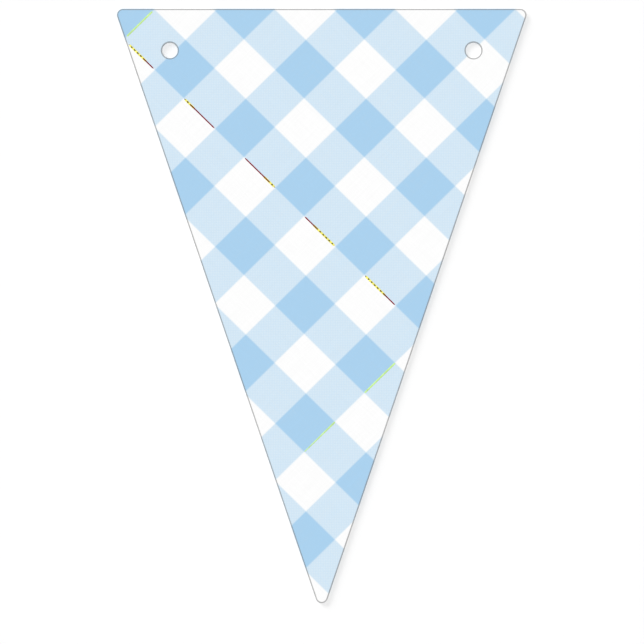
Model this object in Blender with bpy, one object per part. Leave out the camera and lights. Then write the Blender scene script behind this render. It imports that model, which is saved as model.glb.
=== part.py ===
"""One bunting flag, die cut from gingham cloth, lying flat and face up.

Metres, +Z up. The straight top edge is at +Y, the point at -Y, and the face at +Z.
The origin is under the middle of the flag's box, on the surface it lies on.
"""

import math

import bmesh
import bpy

# Driving dimensions
FLAG_WIDTH = 0.155
FLAG_LENGTH = 0.225
CLOTH_THICKNESS = 0.001
CORNER_RADIUS = 0.0023
HOLE_DIAMETER = 0.006
HOLE_SPACING = 0.115
HOLE_INSET = 0.0157

# Facets
CORNER_STEPS = 10
HOLE_SIDES = 32

# How far a punch reaches past each face of the cloth
PUNCH_REACH = 0.002

# Cloth finish: the mean of the white and blue yarns, linear RGB
CLOTH_COLOR = (0.665, 0.807, 0.921, 1.0)
CLOTH_ROUGHNESS = 0.85


def clear_scene():
    """Remove every object of the start-up scene."""
    for old in list(bpy.data.objects):
        bpy.data.objects.remove(old, do_unlink=True)


def cloth_material():
    """Matt woven cotton."""
    material = bpy.data.materials.new("gingham_cloth")
    material.use_nodes = True
    shader = material.node_tree.nodes["Principled BSDF"]
    shader.inputs["Base Color"].default_value = CLOTH_COLOR
    shader.inputs["Roughness"].default_value = CLOTH_ROUGHNESS
    shader.inputs["Metallic"].default_value = 0.0
    return material


def flag_outline():
    """Points of the long triangle with its three round corners, clockwise from the top.

    The outline is that of three equal discs with straight edges drawn round them.
    """
    half_width = FLAG_WIDTH / 2 - CORNER_RADIUS
    half_length = FLAG_LENGTH / 2 - CORNER_RADIUS
    lean = math.atan2(half_width, 2 * half_length)

    # Directions that the three edges face
    faces_up = math.pi / 2
    faces_right = -lean
    faces_left = lean - math.pi

    corners = (
        (half_width, half_length, faces_up, faces_right),
        (0.0, -half_length, faces_right, faces_left),
        (-half_width, half_length, faces_left, faces_up - 2 * math.pi),
    )
    points = []
    for centre_x, centre_y, start, end in corners:
        for step in range(CORNER_STEPS + 1):
            angle = start + (end - start) * step / CORNER_STEPS
            x = centre_x + CORNER_RADIUS * math.cos(angle)
            y = centre_y + CORNER_RADIUS * math.sin(angle)
            points.append((x, y))
    return points


def flag_blank():
    """The flag before it is punched: its outline, one cloth thickness deep."""
    shape = bmesh.new()
    rim = [shape.verts.new((x, y, 0.0)) for x, y in flag_outline()]
    underside = shape.faces.new(rim)
    raised = bmesh.ops.extrude_face_region(shape, geom=[underside], use_keep_orig=True)
    top_points = [part for part in raised["geom"] if isinstance(part, bmesh.types.BMVert)]
    bmesh.ops.translate(shape, verts=top_points, vec=(0.0, 0.0, CLOTH_THICKNESS))
    bmesh.ops.recalc_face_normals(shape, faces=shape.faces)

    mesh = bpy.data.meshes.new("flag")
    shape.to_mesh(mesh)
    shape.free()
    flag = bpy.data.objects.new("flag", mesh)
    bpy.context.scene.collection.objects.link(flag)
    return flag


def hole_punch(name, centre_x):
    """A round punch that stands through the cloth at one cord hole."""
    shape = bmesh.new()
    bmesh.ops.create_cone(
        shape,
        cap_ends=True,
        segments=HOLE_SIDES,
        radius1=HOLE_DIAMETER / 2,
        radius2=HOLE_DIAMETER / 2,
        depth=CLOTH_THICKNESS + 2 * PUNCH_REACH,
    )
    mesh = bpy.data.meshes.new(name)
    shape.to_mesh(mesh)
    shape.free()
    punch = bpy.data.objects.new(name, mesh)
    bpy.context.scene.collection.objects.link(punch)
    punch.location = (centre_x, FLAG_LENGTH / 2 - HOLE_INSET, CLOTH_THICKNESS / 2)
    punch.hide_render = True
    punch.display_type = "WIRE"
    return punch


def punch_hole(flag, punch):
    """Cut one cord hole through the flag."""
    cut = flag.modifiers.new(punch.name, "BOOLEAN")
    cut.operation = "DIFFERENCE"
    cut.solver = "EXACT"
    cut.object = punch


def shade_round_stretches(mesh):
    """Smooth shading round the corners, with the cut edge kept sharp."""
    mesh.shade_smooth()
    mesh.set_sharp_from_angle(angle=math.radians(30))


def build_flag():
    """The whole flag, with its material and its two cord holes."""
    flag = flag_blank()
    flag.data.materials.append(cloth_material())
    shade_round_stretches(flag.data)
    for side, name in ((-1, "left_punch"), (1, "right_punch")):
        punch_hole(flag, hole_punch(name, side * HOLE_SPACING / 2))
    return flag


clear_scene()
build_flag()
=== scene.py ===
"""Looks of one bunting flag, die cut from blue and white gingham, flat and face up.

Everything is in metres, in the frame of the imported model: +Y from the flag's point
to its straight top edge, +Z out of its face, and the surface it lies on at Z 0.
"""

import math
from typing import NamedTuple

import bmesh
import bpy
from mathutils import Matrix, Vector, noise
from mathutils.geometry import delaunay_2d_cdt


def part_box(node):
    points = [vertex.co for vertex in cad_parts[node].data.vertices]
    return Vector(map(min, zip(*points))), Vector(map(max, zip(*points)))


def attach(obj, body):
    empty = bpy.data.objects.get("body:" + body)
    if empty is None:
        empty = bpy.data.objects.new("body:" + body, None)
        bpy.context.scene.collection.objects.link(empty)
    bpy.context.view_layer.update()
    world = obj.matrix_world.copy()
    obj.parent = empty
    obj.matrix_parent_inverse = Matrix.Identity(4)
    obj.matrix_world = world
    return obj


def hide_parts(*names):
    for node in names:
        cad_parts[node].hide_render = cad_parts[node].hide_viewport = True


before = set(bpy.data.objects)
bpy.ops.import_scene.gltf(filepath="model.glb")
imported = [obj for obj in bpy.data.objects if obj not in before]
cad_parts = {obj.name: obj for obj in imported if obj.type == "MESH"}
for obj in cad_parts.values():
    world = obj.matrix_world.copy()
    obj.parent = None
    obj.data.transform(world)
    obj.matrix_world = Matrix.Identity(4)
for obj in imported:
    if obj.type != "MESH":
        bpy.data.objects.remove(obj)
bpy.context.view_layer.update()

MM = 0.001

# The flag's outline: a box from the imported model, three round corners, two cord holes
BOX_LOW, BOX_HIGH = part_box("flag")
FLAG_WIDTH = BOX_HIGH[0] - BOX_LOW[0]
FLAG_LENGTH = BOX_HIGH[1] - BOX_LOW[1]
FACE_HEIGHT = BOX_HIGH[2]
CORNER_RADIUS = 2.3 * MM
HOLE_RADIUS = 3.0 * MM
HOLE_SPACING = 115.0 * MM
HOLE_INSET = 15.7 * MM

# The rim round the outline and the holes, painted grey as shade along the cut edge, and the rounding
# of that edge
RIM_WIDTH = 0.44 * MM
EDGE_ROUNDING = 0.09 * MM
ROUNDING_STEPS = 3

# Fineness of the sheet's mesh
CORNER_STEPS = 14
EDGE_STEP = 1.5 * MM
HOLE_STEPS = 64
GRID_STEP = 1.6 * MM

# What delaunay_2d_cdt keeps: triangles inside the border
INSIDE_BORDER = 1
MERGE_REACH = 0.00001 * MM

# The face is pressed flat, but for a faint waviness
WAVE_DEPTH = 0.02 * MM
WAVE_SIZE = 16.0 * MM

# Gingham: stripes of blue yarn both ways, on the bias
CHECK_REPEAT = 31.89 * MM
BIAS_ANGLE = math.radians(45.6)
STRIPE_UP_WIDTH = 15.31 * MM
STRIPE_DOWN_WIDTH = 16.25 * MM
STRIPE_SOFTNESS = 0.38 * MM
DARK_CELL = Vector((-6.30 * MM, 0.46 * MM, 0.0))
YARN_PITCH = 0.45 * MM

# Thick and thin streaks of single yarns, and how much they vary the dye and the brightness
SLUB_WIDTH = 0.7 * MM
SLUB_LENGTH = 14.0 * MM
DYE_VARIES = 0.14
BRIGHTNESS_VARIES = 0.05

# Directions across the two sets of yarns, in the plane of the cloth, and out of its face
ACROSS_UP = Vector((math.cos(BIAS_ANGLE), -math.sin(BIAS_ANGLE), 0.0))
ACROSS_DOWN = Vector((math.cos(BIAS_ANGLE), math.sin(BIAS_ANGLE), 0.0))
UPWARD = Vector((0.0, 0.0, 1.0))

# Halfway through the cloth, where its two layers of yarns meet
CLOTH_MIDDLE = Vector((0.0, 0.0, FACE_HEIGHT / 2))
LAYER_SOFTNESS = 0.06 * MM

# Cloth colours, linear RGB: white on white, white on blue, blue on blue
WHITE_CLOTH = (0.800, 0.800, 0.800, 1.0)
MIXED_CLOTH = (0.531, 0.649, 0.744, 1.0)
BLUE_CLOTH = (0.323, 0.516, 0.697, 1.0)

# How much more of its colour the yarn on top shows: on the face, and where the cloth is cut
TOP_SHOWS = 0.11
TOP_SHOWS_CUT = 0.42

# Grey painted on the rim and on the cut side as shade along the cut edge, and how much of it each has
EDGE_SHADE_GREY = (0.165, 0.165, 0.165, 1.0)
RIM_SHADE_SHARE = 0.66
RIM_SHADE_VARIES = 0.22
SIDE_SHADE_SHARE = 0.10

# Sizes of the clumps on the rim and of the cut fibres on the side
CLUMP_SIZE = 1.1 * MM
FIBRE_SIZE = 0.07 * MM

# Relief that the bumps stand for
FACE_RELIEF = 0.035 * MM
RIM_RELIEF = 0.03 * MM
SIDE_RELIEF = 0.05 * MM

# Places of the rim's and the side's materials on the flag's mesh, after the face's
RIM_FINISH = 1
SIDE_FINISH = 2

# Stray coloured yarns, woven in beside a stripe and showing on the face in short floats.
# A two-ply yarn, yellow and crimson, crosses the white gaps between upward stripes, along
# the lower edge of the downward stripe next to the dark cell. Gaps are counted from that
# cell, and each ply shows from and to a place in millimetres from the gap's middle.
TWO_PLY_SHOWS = (
    {"gap": -3, "yellow": (-8.0, 4.0), "crimson": (2.4, 7.6)},
    {"gap": -2, "yellow": (-8.0, -2.4), "crimson": (-4.6, 8.0)},
    {"gap": -1, "yellow": (1.8, 8.2), "crimson": (-7.8, 5.0)},
    {"gap": 0, "yellow": (-3.8, 8.0), "crimson": (-8.0, -1.4)},
    {"gap": 1, "yellow": (-8.0, 3.2), "crimson": (2.0, 8.0)},
)

# A green yarn runs along the lower edge of upward stripes, over the downward stripes, and
# is narrowed to this share of its width at its lower end
GREEN_SHOWS = (
    {"stripe_up": 1, "stripe_down": 0, "narrowed": 0.9},
    {"stripe_up": 1, "stripe_down": -1, "narrowed": 0.45},
    {"stripe_up": -4, "stripe_down": 1, "narrowed": 0.9},
)
GREEN_REACH = 8.4 * MM
GREEN_ASIDE = 0.08 * MM

# Half widths and half heights of the yarns' flattened sections
YELLOW_SECTION = (0.43 * MM, 0.08 * MM)
CRIMSON_SECTION = (0.24 * MM, 0.10 * MM)
GREEN_SECTION = (0.38 * MM, 0.07 * MM)

# How every yarn lies: held down at each second crossing, tapered and sunk at its ends
HELD_DOWN = 0.03 * MM
YARN_TAPER = 0.9 * MM
YARN_SINK = 0.10 * MM
YARN_CLEAR = 0.25 * MM

# How the crimson ply lies on the cloth, on the yellow ply, and in dots past its bare stretch
CRIMSON_ON_CLOTH = 0.03 * MM
CRIMSON_ON_YELLOW = 0.11 * MM
CLIMB_LENGTH = 0.6 * MM
DOT_PITCH = 1.6 * MM
DOT_DIP = 0.24 * MM
DOT_FADE = 0.005
OLIVE_LEAD = 2.5 * MM

# Fineness of the yarns' meshes
YARN_STEP = 0.12 * MM
YARN_SIDES = 10

# Twist of the yarns: how far apart its dips are along and across, its lumps and its relief
TWIST_PITCH = 0.42 * MM
TWIST_SLANT = 0.9 * MM
LUMP_SIZE = 1.5 * MM
TWIST_RELIEF = 0.03 * MM

# Yarn colours, linear RGB
YELLOW_YARN = (0.84, 0.78, 0.14)
CRIMSON_YARN = (0.220, 0.002, 0.018)
OLIVE_YARN = (0.045, 0.028, 0.001)
GREEN_YARN = (0.50, 0.75, 0.27)

# The mesh layer that says how olive a yarn is, from 0 to 1
OLIVE_LAYER = "olive"


# Shader helpers


class Finish:
    """A Principled material whose node tree is written as sums."""

    def __init__(self, name, specular, sheen):
        self.material = bpy.data.materials.new(name)
        self.material.use_nodes = True
        self.nodes = self.material.node_tree.nodes
        self.links = self.material.node_tree.links
        self.surface = self.nodes["Principled BSDF"]
        self.surface.inputs["Specular IOR Level"].default_value = specular
        self.surface.inputs["Sheen Weight"].default_value = sheen
        self.surface.inputs["Sheen Roughness"].default_value = 0.5
        self.place = self.nodes.new("ShaderNodeTexCoord").outputs["Object"]

    def feed(self, socket, value):
        """Link an output to a socket, or set a plain value there."""
        if isinstance(value, bpy.types.NodeSocket):
            self.links.new(value, socket)
        else:
            socket.default_value = value

    def math(self, operation, first, second=0.0, third=0.0):
        node = self.nodes.new("ShaderNodeMath")
        node.operation = operation
        for socket, value in zip(node.inputs, (first, second, third)):
            self.feed(socket, value)
        return node.outputs["Value"]

    def along(self, direction, origin):
        """How far the shaded point lies from origin along a direction."""
        offset = self.nodes.new("ShaderNodeVectorMath")
        offset.operation = "SUBTRACT"
        self.feed(offset.inputs[0], self.place)
        self.feed(offset.inputs[1], origin)
        dot = self.nodes.new("ShaderNodeVectorMath")
        dot.operation = "DOT_PRODUCT"
        self.feed(dot.inputs[0], offset.outputs["Vector"])
        self.feed(dot.inputs[1], direction)
        return dot.outputs["Value"]

    def spread(self, value, low, high, to_low=0.0, to_high=1.0, smooth=True):
        """Move a value from one range to another, held inside it."""
        node = self.nodes.new("ShaderNodeMapRange")
        node.interpolation_type = "SMOOTHSTEP" if smooth else "LINEAR"
        for name, number in (
            ("Value", value),
            ("From Min", low),
            ("From Max", high),
            ("To Min", to_low),
            ("To Max", to_high),
        ):
            self.feed(node.inputs[name], number)
        return node.outputs["Result"]

    def point(self, x, y, z=0.0):
        node = self.nodes.new("ShaderNodeCombineXYZ")
        for socket, value in zip(node.inputs, (x, y, z)):
            self.feed(socket, value)
        return node.outputs["Vector"]

    def noise(self, vector, detail=2.0):
        """Noise from about 0.25 to 0.75, one lump for each unit of the vector."""
        node = self.nodes.new("ShaderNodeTexNoise")
        self.feed(node.inputs["Vector"], vector)
        node.inputs["Scale"].default_value = 1.0
        node.inputs["Detail"].default_value = detail
        return node.outputs["Fac"]

    def mix(self, share, first, second):
        node = self.nodes.new("ShaderNodeMix")
        node.data_type = "RGBA"
        self.feed(node.inputs[0], share)
        self.feed(node.inputs[6], first)
        self.feed(node.inputs[7], second)
        return node.outputs[2]

    def dim(self, color, brightness):
        """A colour times a brightness."""
        node = self.nodes.new("ShaderNodeVectorMath")
        node.operation = "SCALE"
        self.feed(node.inputs[0], color)
        self.feed(node.inputs["Scale"], brightness)
        return node.outputs["Vector"]

    def emboss(self, height, strength, depth):
        """Bump the surface by a height from 0 to 1 that stands for depth metres."""
        node = self.nodes.new("ShaderNodeBump")
        node.inputs["Strength"].default_value = strength
        node.inputs["Distance"].default_value = depth
        self.feed(node.inputs["Height"], height)
        self.feed(self.surface.inputs["Normal"], node.outputs["Normal"])

    def roughen(self, value):
        self.feed(self.surface.inputs["Roughness"], value)

    def paint(self, color):
        self.feed(self.surface.inputs["Base Color"], color)


# Gingham cloth


def stripe_share(finish, across, width):
    """1 in a stripe of blue yarn, 0 between two stripes, soft at its edges."""
    from_middle = finish.math("PINGPONG", across, CHECK_REPEAT / 2)
    edge = width / 2
    return finish.spread(from_middle, edge - STRIPE_SOFTNESS, edge + STRIPE_SOFTNESS, 1.0, 0.0)


def slubs(finish, across, lengthwise, seed):
    """Thick and thin places of single yarns: long streaks that run lengthwise."""
    fine = finish.math("MULTIPLY", across, 1 / SLUB_WIDTH)
    coarse = finish.math("MULTIPLY", lengthwise, 1 / SLUB_LENGTH)
    streaks = finish.noise(finish.point(fine, coarse, seed))
    return finish.math("SUBTRACT", streaks, 0.5)


def weave(finish, across_up, across_down):
    """Plain weave: positive where one set of yarns is on top, negative where the other is.

    The two sets change places halfway down, so the underside is the reverse of the face.
    """
    up = finish.math("SINE", finish.math("MULTIPLY", across_up, math.pi / YARN_PITCH))
    down = finish.math("SINE", finish.math("MULTIPLY", across_down, math.pi / YARN_PITCH))
    height = finish.along(UPWARD, CLOTH_MIDDLE)
    layer = finish.spread(height, -LAYER_SOFTNESS, LAYER_SOFTNESS, -1.0, 1.0)
    return finish.math("MULTIPLY", finish.math("MULTIPLY", up, down), layer)


def gingham(finish, top_shows):
    """Colour, and the height of the weave from 0 to 1, of the yarn-dyed cloth."""
    across_up = finish.along(ACROSS_UP, DARK_CELL)
    across_down = finish.along(ACROSS_DOWN, DARK_CELL)
    blue_up = stripe_share(finish, across_up, STRIPE_UP_WIDTH)
    blue_down = stripe_share(finish, across_down, STRIPE_DOWN_WIDTH)
    crossing = weave(finish, across_up, across_down)

    # Where blue crosses white, the yarn on top shows more of its colour
    both = finish.math("ADD", blue_up, blue_down)
    lean = finish.math("MULTIPLY", finish.math("SUBTRACT", blue_up, blue_down), crossing)
    share = finish.math("MULTIPLY_ADD", lean, top_shows, finish.math("MULTIPLY", both, 0.5))

    slub_up = slubs(finish, across_up, across_down, 3.0)
    slub_down = slubs(finish, across_down, across_up, 8.0)
    dye_up = finish.math("MULTIPLY", slub_up, blue_up)
    dye_down = finish.math("MULTIPLY", slub_down, blue_down)
    dye = finish.math("MULTIPLY", finish.math("ADD", dye_up, dye_down), DYE_VARIES)
    share = finish.math("ADD", share, dye)

    half_blue = finish.spread(share, 0.0, 0.5, smooth=False)
    full_blue = finish.spread(share, 0.5, 1.0, smooth=False)
    color = finish.mix(half_blue, WHITE_CLOTH, MIXED_CLOTH)
    color = finish.mix(full_blue, color, BLUE_CLOTH)

    # Painted shade in the dips between yarns with a faint painted highlight on their crowns, and
    # lighter and darker streaks where a yarn runs thin or thick
    height = finish.math("ABSOLUTE", crossing)
    dips = finish.spread(height, 0.0, 0.55, 0.965, 1.008)
    thin = finish.math("MULTIPLY_ADD", finish.math("ADD", slub_up, slub_down), BRIGHTNESS_VARIES, 1.0)
    color = finish.dim(color, finish.math("MULTIPLY", dips, thin))

    slubbed = finish.math("MULTIPLY_ADD", finish.math("ADD", slub_up, slub_down), 0.8, height)
    return color, slubbed


def cloth_finish():
    """The cloth's face: matt cotton with a fine plain weave."""
    finish = Finish("gingham_cloth_face", specular=0.25, sheen=0.08)
    color, height = gingham(finish, TOP_SHOWS)
    finish.paint(color)
    finish.roughen(finish.spread(height, -0.2, 1.2, 0.93, 0.84, smooth=False))
    finish.emboss(height, 0.5, FACE_RELIEF)
    return finish.material


def rim_finish():
    """The rim: the same yarns under a painted grey shade along the cut edge, and a little glazed."""
    finish = Finish("gingham_cloth_rim", specular=0.3, sheen=0.05)
    color, height = gingham(finish, TOP_SHOWS)
    # Painted shade along the cut edge: grey mixed over the cloth, more in some clumps than in others
    clumps = finish.noise(finish.dim(finish.place, 1 / CLUMP_SIZE), detail=3.0)
    uneven = finish.math("SUBTRACT", clumps, 0.5)
    grey = finish.math("MULTIPLY_ADD", uneven, RIM_SHADE_VARIES, RIM_SHADE_SHARE)
    finish.paint(finish.mix(grey, color, EDGE_SHADE_GREY))
    finish.roughen(finish.spread(clumps, 0.3, 0.7, 0.72, 0.86, smooth=False))
    finish.emboss(finish.math("ADD", height, clumps), 0.5, RIM_RELIEF)
    return finish.material


def side_finish():
    """The cut side: the ends of the two layers of yarns, with cut fibres, painted shade between the
    layers and between the yarn ends, and a little painted grey edge shade.
    """
    finish = Finish("gingham_cloth_side", specular=0.15, sheen=0.1)
    color, height = gingham(finish, TOP_SHOWS_CUT)
    climb = finish.math("MULTIPLY", finish.along(UPWARD, CLOTH_MIDDLE), 2 * math.pi / FACE_HEIGHT)
    layers = finish.math("ABSOLUTE", finish.math("SINE", climb))
    ends = finish.math("SQRT", finish.math("MULTIPLY", finish.spread(height, 0.0, 0.8), layers))
    fibres = finish.noise(finish.dim(finish.place, 1 / FIBRE_SIZE), detail=1.0)
    # Painted shade: darker where the two layers meet, at the faces and between the yarn ends; the
    # fibres vary the tone at random
    shade = finish.math("MULTIPLY_ADD", fibres, 0.16, finish.spread(ends, 0.1, 0.8, 0.80, 0.96))
    # A little of the painted grey edge shade on the cut side
    greyed = finish.mix(SIDE_SHADE_SHARE, color, EDGE_SHADE_GREY)
    finish.paint(finish.dim(greyed, shade))
    finish.roughen(finish.spread(fibres, 0.3, 0.7, 0.86, 0.98, smooth=False))
    finish.emboss(finish.math("MULTIPLY_ADD", fibres, 0.4, ends), 0.7, SIDE_RELIEF)
    return finish.material


# The cut sheet


def rounded_triangle(inset):
    """Points of the outline, drawn in by inset, clockwise from the right corner."""
    radius = CORNER_RADIUS - inset
    half_width = FLAG_WIDTH / 2 - CORNER_RADIUS
    half_length = FLAG_LENGTH / 2 - CORNER_RADIUS
    lean = math.atan2(half_width, 2 * half_length)
    faces_up = math.pi / 2
    faces_right = -lean
    faces_left = lean - math.pi
    corners = (
        (Vector((half_width, half_length)), faces_up, faces_right),
        (Vector((0.0, -half_length)), faces_right, faces_left),
        (Vector((-half_width, half_length)), faces_left, faces_up - 2 * math.pi),
    )
    points = []
    for corner, (centre, start, end) in enumerate(corners):
        for step in range(CORNER_STEPS + 1):
            angle = start + (end - start) * step / CORNER_STEPS
            points.append(centre + radius * Vector((math.cos(angle), math.sin(angle))))
        next_centre = corners[(corner + 1) % len(corners)][0]
        outward = radius * Vector((math.cos(end), math.sin(end)))
        pieces = round((next_centre - centre).length / EDGE_STEP)
        for step in range(1, pieces):
            points.append(centre.lerp(next_centre, step / pieces) + outward)
    return points


def hole_centre(side):
    """Middle of a cord hole. side is -1 for left and 1 for right."""
    return Vector((side * HOLE_SPACING / 2, FLAG_LENGTH / 2 - HOLE_INSET))


def hole_circle(side, inset):
    """Points round a cord hole, widened by inset."""
    centre = hole_centre(side)
    radius = HOLE_RADIUS + inset
    points = []
    for step in range(HOLE_STEPS):
        angle = 2 * math.pi * step / HOLE_STEPS
        points.append(centre + radius * Vector((math.cos(angle), math.sin(angle))))
    return points


def edge_profile():
    """Inset and height of each loop of points, from the face round the cut edge to the underside."""
    loops = [(RIM_WIDTH, FACE_HEIGHT)]
    for step in range(ROUNDING_STEPS + 1):
        angle = math.pi / 2 * step / ROUNDING_STEPS
        inset = EDGE_ROUNDING * (1 - math.sin(angle))
        drop = EDGE_ROUNDING * (1 - math.cos(angle))
        loops.append((inset, FACE_HEIGHT - drop))
    for inset, height in reversed(loops[:]):
        loops.append((inset, FACE_HEIGHT - height))
    return loops


def wave(x, y):
    """How far the pressed face dips at a place: nothing at the rim, a little inside it."""
    lump = noise.noise(Vector((x / WAVE_SIZE, y / WAVE_SIZE, 0.5)))
    return WAVE_DEPTH * 0.5 * (lump - 1.0)


def grid_points(border, holes):
    """Staggered points that fill the face, clear of its border and of the holes."""
    edges = list(zip(border, border[1:] + border[:1]))
    points = []
    rows = int(FLAG_LENGTH / (GRID_STEP * math.sqrt(3) / 2))
    for row in range(rows + 1):
        y = -FLAG_LENGTH / 2 + row * GRID_STEP * math.sqrt(3) / 2
        shift = GRID_STEP / 2 * (row % 2)
        columns = int(FLAG_WIDTH / GRID_STEP)
        for column in range(columns + 1):
            spot = Vector((-FLAG_WIDTH / 2 + column * GRID_STEP + shift, y))
            if all(inside_edge(spot, a, b, GRID_STEP / 2) for a, b in edges):
                if all((spot - centre).length > radius + GRID_STEP / 2 for centre, radius in holes):
                    points.append(spot)
    return points


def inside_edge(spot, start, end, margin):
    """True where a spot is on the right of an edge that runs clockwise, by a margin."""
    run = end - start
    away = spot - start
    return (away.x * run.y - away.y * run.x) / run.length > margin


def edge_loops(mesh):
    """Loops of points down the cut edge: a list of them for the outline and each hole."""
    shapes = (
        rounded_triangle,
        lambda inset: hole_circle(-1, inset),
        lambda inset: hole_circle(1, inset),
    )
    rings = []
    for shape in shapes:
        loops = []
        for inset, height in edge_profile():
            loops.append([mesh.verts.new((p.x, p.y, height)) for p in shape(inset)])
        rings.append(loops)
    return rings


def add_bands(mesh, loops):
    """The rim and the cut side along one edge, as bands between its loops."""
    side_band = (len(loops) - 1) // 2
    for number, (upper, lower) in enumerate(zip(loops, loops[1:])):
        for here in range(len(upper)):
            after = (here + 1) % len(upper)
            band = mesh.faces.new((upper[here], upper[after], lower[after], lower[here]))
            band.material_index = SIDE_FINISH if number == side_band else RIM_FINISH


def fill_level(mesh, borders, inner):
    """Fill the face or the underside with small triangles, clear of the holes.

    borders are the loops of the outline and the holes there, and inner the points inside.
    """
    verts = [vert for border in borders for vert in border] + inner
    edges = []
    start = 0
    for border in borders:
        count = len(border)
        edges += [(start + here, start + (here + 1) % count) for here in range(count)]
        start += count
    flat = [vert.co.to_2d() for vert in verts]
    filled = delaunay_2d_cdt(flat, edges, [], INSIDE_BORDER, MERGE_REACH)
    triangles = filled[2]
    sources = filled[3]
    hole_loops = [set(border) for border in borders[1:]]
    for triangle in triangles:
        corners = [verts[sources[here][0]] for here in triangle]
        if not any(loop.issuperset(corners) for loop in hole_loops):
            mesh.faces.new(corners)


def smooth_piece(name, mesh, finishes):
    """An object made of a mesh, shaded smooth, with its materials in their places."""
    bmesh.ops.recalc_face_normals(mesh, faces=mesh.faces)
    for face in mesh.faces:
        face.smooth = True
    data = bpy.data.meshes.new(name)
    mesh.to_mesh(data)
    mesh.free()
    for finish in finishes:
        data.materials.append(finish)
    piece = bpy.data.objects.new(name, data)
    bpy.context.scene.collection.objects.link(piece)
    return piece


def flag_sheet():
    """The whole sheet as one closed mesh: face, rim, cut side and underside."""
    mesh = bmesh.new()
    rings = edge_loops(mesh)
    for loops in rings:
        add_bands(mesh, loops)

    holes = [(hole_centre(side), HOLE_RADIUS + RIM_WIDTH) for side in (-1, 1)]
    places = grid_points(rounded_triangle(RIM_WIDTH), holes)
    on_face = [mesh.verts.new((p.x, p.y, FACE_HEIGHT + wave(p.x, p.y))) for p in places]
    fill_level(mesh, [loops[0] for loops in rings], on_face)
    on_underside = [mesh.verts.new((p.x, p.y, 0.0)) for p in places]
    fill_level(mesh, [loops[-1] for loops in rings], on_underside)
    return smooth_piece("flag_cloth", mesh, (cloth_finish(), rim_finish(), side_finish()))


# Stray yarns


def place_on_cloth(across_up, across_down):
    """The point at these distances from the dark cell across both sets of stripes."""
    x = (across_up + across_down) / (2 * math.cos(BIAS_ANGLE))
    y = (across_down - across_up) / (2 * math.sin(BIAS_ANGLE))
    return DARK_CELL.to_2d() + Vector((x, y))


class Spot(NamedTuple):
    """One place along a yarn on the cloth."""

    place: Vector
    lift: float = 0.0
    width: float = 1.0
    olive: float = 0.0


def laid_down(spots):
    """The yarn through these spots as it lies on the face, each place with its height.

    The yarn keeps inside the rim, and it is tapered and sunk at both ends.
    """
    border = rounded_triangle(RIM_WIDTH)
    edges = list(zip(border, border[1:] + border[:1]))
    kept = []
    for spot in spots:
        if all(inside_edge(spot.place, a, b, YARN_CLEAR) for a, b in edges):
            kept.append(spot)
    first = kept[0].place
    last = kept[-1].place
    laid = []
    for spot in kept:
        x, y = spot.place
        from_start = (spot.place - first).length
        from_end = min(from_start, (spot.place - last).length)
        ending = max(0.0, 1 - from_end / YARN_TAPER)
        held = HELD_DOWN * (1 - math.cos(math.pi * from_start / YARN_PITCH)) / 2
        height = FACE_HEIGHT + wave(x, y) + spot.lift - held - YARN_SINK * ending ** 2
        width = spot.width * math.sqrt(max(1 - ending ** 2, 0.02))
        laid.append(Spot(Vector((x, y, height)), spot.lift, width, spot.olive))
    return laid


def evenly(start, end):
    """Distances from start to end, a yarn step apart."""
    steps = round((end - start) / YARN_STEP)
    return [start + (end - start) * step / steps for step in range(steps + 1)]


def ramp(value, reach):
    """0 before -reach, 1 past reach, and even between them."""
    return min(max((value + reach) / (2 * reach), 0.0), 1.0)


def crimson_lift(on_yellow, past):
    """How high the crimson ply lies.

    It lies on the cloth, climbs onto the yellow ply, and past its bare stretch goes over
    and under, sinking a little. Both distances are below 0 before those places.
    """
    past = max(past, 0.0)
    climbed = (CRIMSON_ON_YELLOW - CRIMSON_ON_CLOTH) * ramp(on_yellow, CLIMB_LENGTH / 2)
    dip = (1 - math.cos(2 * math.pi * past / DOT_PITCH)) / 2
    return CRIMSON_ON_CLOTH + climbed - DOT_FADE * past - DOT_DIP * dip


def add_tube(mesh, path, section):
    """A closed tube with a flattened round section, its width across the path."""
    half_width, half_height = section
    layer = mesh.verts.layers.float[OLIVE_LAYER]
    rings = []
    for number, spot in enumerate(path):
        before = path[max(number - 1, 0)].place
        after = path[min(number + 1, len(path) - 1)].place
        run = (after - before).normalized()
        sideways = Vector((-run.y, run.x, 0.0)).normalized()
        upward = run.cross(sideways)
        ring = []
        for side in range(YARN_SIDES):
            angle = 2 * math.pi * side / YARN_SIDES
            aside = sideways * half_width * spot.width * math.cos(angle)
            corner = mesh.verts.new(spot.place + aside + upward * half_height * math.sin(angle))
            corner[layer] = spot.olive
            ring.append(corner)
        rings.append(ring)
    for here, after in zip(rings, rings[1:]):
        for side in range(YARN_SIDES):
            following = (side + 1) % YARN_SIDES
            mesh.faces.new((here[side], here[following], after[following], after[side]))
    mesh.faces.new(rings[0])
    mesh.faces.new(rings[-1])


def yarn_piece(name, paths, section, finish):
    """One piece made of a tube along each path."""
    mesh = bmesh.new()
    mesh.verts.layers.float.new(OLIVE_LAYER)
    for path in paths:
        add_tube(mesh, path, section)
    return smooth_piece(name, mesh, [finish])


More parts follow.
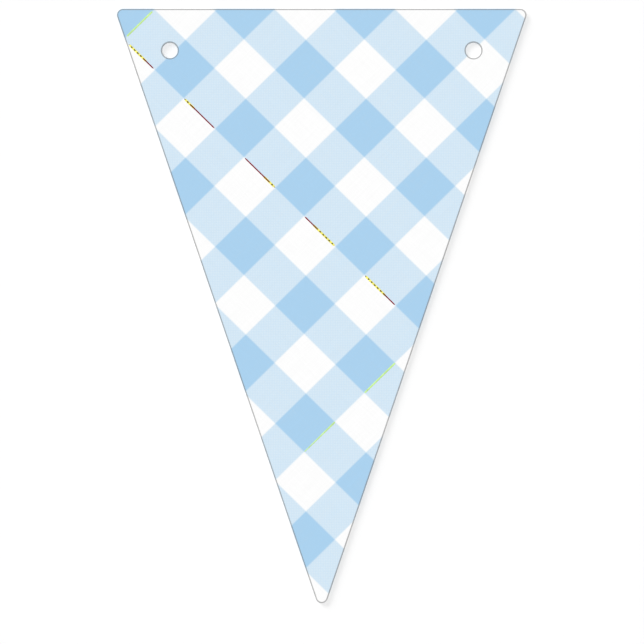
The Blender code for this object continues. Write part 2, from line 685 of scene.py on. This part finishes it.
def yarn_finish(name, color, lengthwise, sideways):
    """Twisted cotton: slanting dips between the plies, with painted shade in them and a painted
    highlight between them as well as their bump, and thick and thin places.
    """
    finish = Finish(name, specular=0.2, sheen=0.04)
    olive = finish.nodes.new("ShaderNodeAttribute")
    olive.attribute_name = OLIVE_LAYER
    color = finish.mix(olive.outputs["Fac"], (*color, 1.0), (*OLIVE_YARN, 1.0))
    along = finish.math("MULTIPLY", finish.along(lengthwise, DARK_CELL), 2 * math.pi / TWIST_PITCH)
    slant = finish.math("MULTIPLY", finish.along(sideways, DARK_CELL), 2 * math.pi / TWIST_SLANT)
    twist = finish.math("SINE", finish.math("ADD", along, slant))
    lumps = finish.noise(finish.dim(finish.place, 1 / LUMP_SIZE), detail=3.0)
    # Painted shade in the twist's dips and a painted highlight on its crowns, on a tone that varies
    # at random in lumps
    shade = finish.math("MULTIPLY_ADD", twist, 0.10, finish.spread(lumps, 0.3, 0.7, 0.84, 1.08))
    finish.paint(finish.dim(color, shade))
    finish.roughen(finish.spread(lumps, 0.3, 0.7, 0.78, 0.92))
    finish.emboss(twist, 0.6, TWIST_RELIEF)
    return finish.material


def two_ply_yarn():
    """The yellow ply, and the crimson ply that lies bare or darts in and out of it."""
    across_down = CHECK_REPEAT - STRIPE_DOWN_WIDTH / 2
    yellow = []
    crimson = []
    for row in TWO_PLY_SHOWS:
        middle = (row["gap"] - 0.5) * CHECK_REPEAT
        bare_from, bare_to = (middle + place * MM for place in row["crimson"])
        yellow_from, yellow_to = (middle + place * MM for place in row["yellow"])
        spots = [Spot(place_on_cloth(along, across_down)) for along in evenly(yellow_from, yellow_to)]
        yellow.append(laid_down(spots))
        spots = []
        for along in evenly(min(bare_from, yellow_from), max(bare_to, yellow_to)):
            past = along - bare_to if yellow_to > bare_to else bare_from - along
            on_yellow = min(along - yellow_from, yellow_to - along)
            lift = crimson_lift(on_yellow, past)
            spots.append(Spot(place_on_cloth(along, across_down), lift, olive=ramp(past, OLIVE_LEAD)))
        crimson.append(laid_down(spots))
    yellow_finish = yarn_finish("yellow_yarn", YELLOW_YARN, ACROSS_UP, ACROSS_DOWN)
    crimson_finish = yarn_finish("crimson_yarn", CRIMSON_YARN, ACROSS_UP, ACROSS_DOWN)
    return [
        yarn_piece("yellow_ply", yellow, YELLOW_SECTION, yellow_finish),
        yarn_piece("crimson_ply", crimson, CRIMSON_SECTION, crimson_finish),
    ]


def green_yarn():
    """The green yarn, one path for each float of it."""
    paths = []
    for row in GREEN_SHOWS:
        across_up = row["stripe_up"] * CHECK_REPEAT + STRIPE_UP_WIDTH / 2 + GREEN_ASIDE
        middle = row["stripe_down"] * CHECK_REPEAT
        spots = []
        for away in evenly(-GREEN_REACH, GREEN_REACH):
            width = row["narrowed"] + (1 - row["narrowed"]) * ramp(away, GREEN_REACH)
            spots.append(Spot(place_on_cloth(across_up, middle + away), width=width))
        paths.append(laid_down(spots))
    finish = yarn_finish("green_yarn", GREEN_YARN, ACROSS_DOWN, ACROSS_UP)
    return yarn_piece("green_yarn", paths, GREEN_SECTION, finish)


# Floor, light and camera

FLOOR_DROP = 0.05 * MM
FLOOR_SIZE = 20.0
FLOOR_COLOR = (0.804, 0.804, 0.804, 1.0)
SKY_STRENGTH = 0.20
KEY_STRENGTH = 1.86
KEY_WIDTH = math.radians(28)
KEY_HEIGHT = math.radians(22.5)
TOP_STRENGTH = 2.59
TOP_WIDTH = math.radians(30)
LENS = 300.0
SENSOR = 36.0
PHOTO_WIDTH_PIXELS = 644
PIXEL_SIZE = 0.3787 * MM
VIEW_CENTRE = (0.12 * MM, -6.07 * MM)


def add_floor():
    bpy.ops.mesh.primitive_plane_add(size=FLOOR_SIZE, location=(0.0, 0.0, -FLOOR_DROP))
    floor = bpy.context.object
    floor.name = "floor"
    finish = bpy.data.materials.new("pale_floor")
    finish.use_nodes = True
    shader = finish.node_tree.nodes["Principled BSDF"]
    shader.inputs["Base Color"].default_value = FLOOR_COLOR
    shader.inputs["Roughness"].default_value = 1.0
    shader.inputs["Specular IOR Level"].default_value = 0.0
    floor.data.materials.append(finish)


def add_sun(name, strength, width, direction):
    """A far light that shines along a direction."""
    light = bpy.data.lights.new(name, "SUN")
    light.energy = strength
    light.angle = width
    lamp = bpy.data.objects.new(name, light)
    lamp.rotation_euler = Vector(direction).to_track_quat("-Z", "Y").to_euler()
    bpy.context.scene.collection.objects.link(lamp)


def add_light():
    """Even light from all round and above, and a soft low key from the upper left."""
    world = bpy.data.worlds.new("studio")
    world.use_nodes = True
    sky = world.node_tree.nodes["Background"]
    sky.inputs["Color"].default_value = (1.0, 1.0, 1.0, 1.0)
    sky.inputs["Strength"].default_value = SKY_STRENGTH
    bpy.context.scene.world = world
    flat = math.cos(KEY_HEIGHT) / math.sqrt(2)
    add_sun("key", KEY_STRENGTH, KEY_WIDTH, (flat, -flat, -math.sin(KEY_HEIGHT)))
    add_sun("top", TOP_STRENGTH, TOP_WIDTH, (0.0, 0.0, -1.0))
    bpy.context.scene.view_settings.view_transform = "Standard"


def add_camera():
    """Straight above the flag, its top edge up."""
    data = bpy.data.cameras.new("camera")
    data.lens = LENS
    data.sensor_width = SENSOR
    camera = bpy.data.objects.new("camera", data)
    reach = PHOTO_WIDTH_PIXELS * PIXEL_SIZE * LENS / SENSOR
    camera.location = (VIEW_CENTRE[0], VIEW_CENTRE[1], FACE_HEIGHT + reach)
    bpy.context.scene.collection.objects.link(camera)
    bpy.context.scene.camera = camera


add_camera()
add_light()
add_floor()

cloth = flag_sheet()
yarns = [*two_ply_yarn(), green_yarn()]
for piece in (cloth, *yarns):
    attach(piece, "root")
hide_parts("flag")
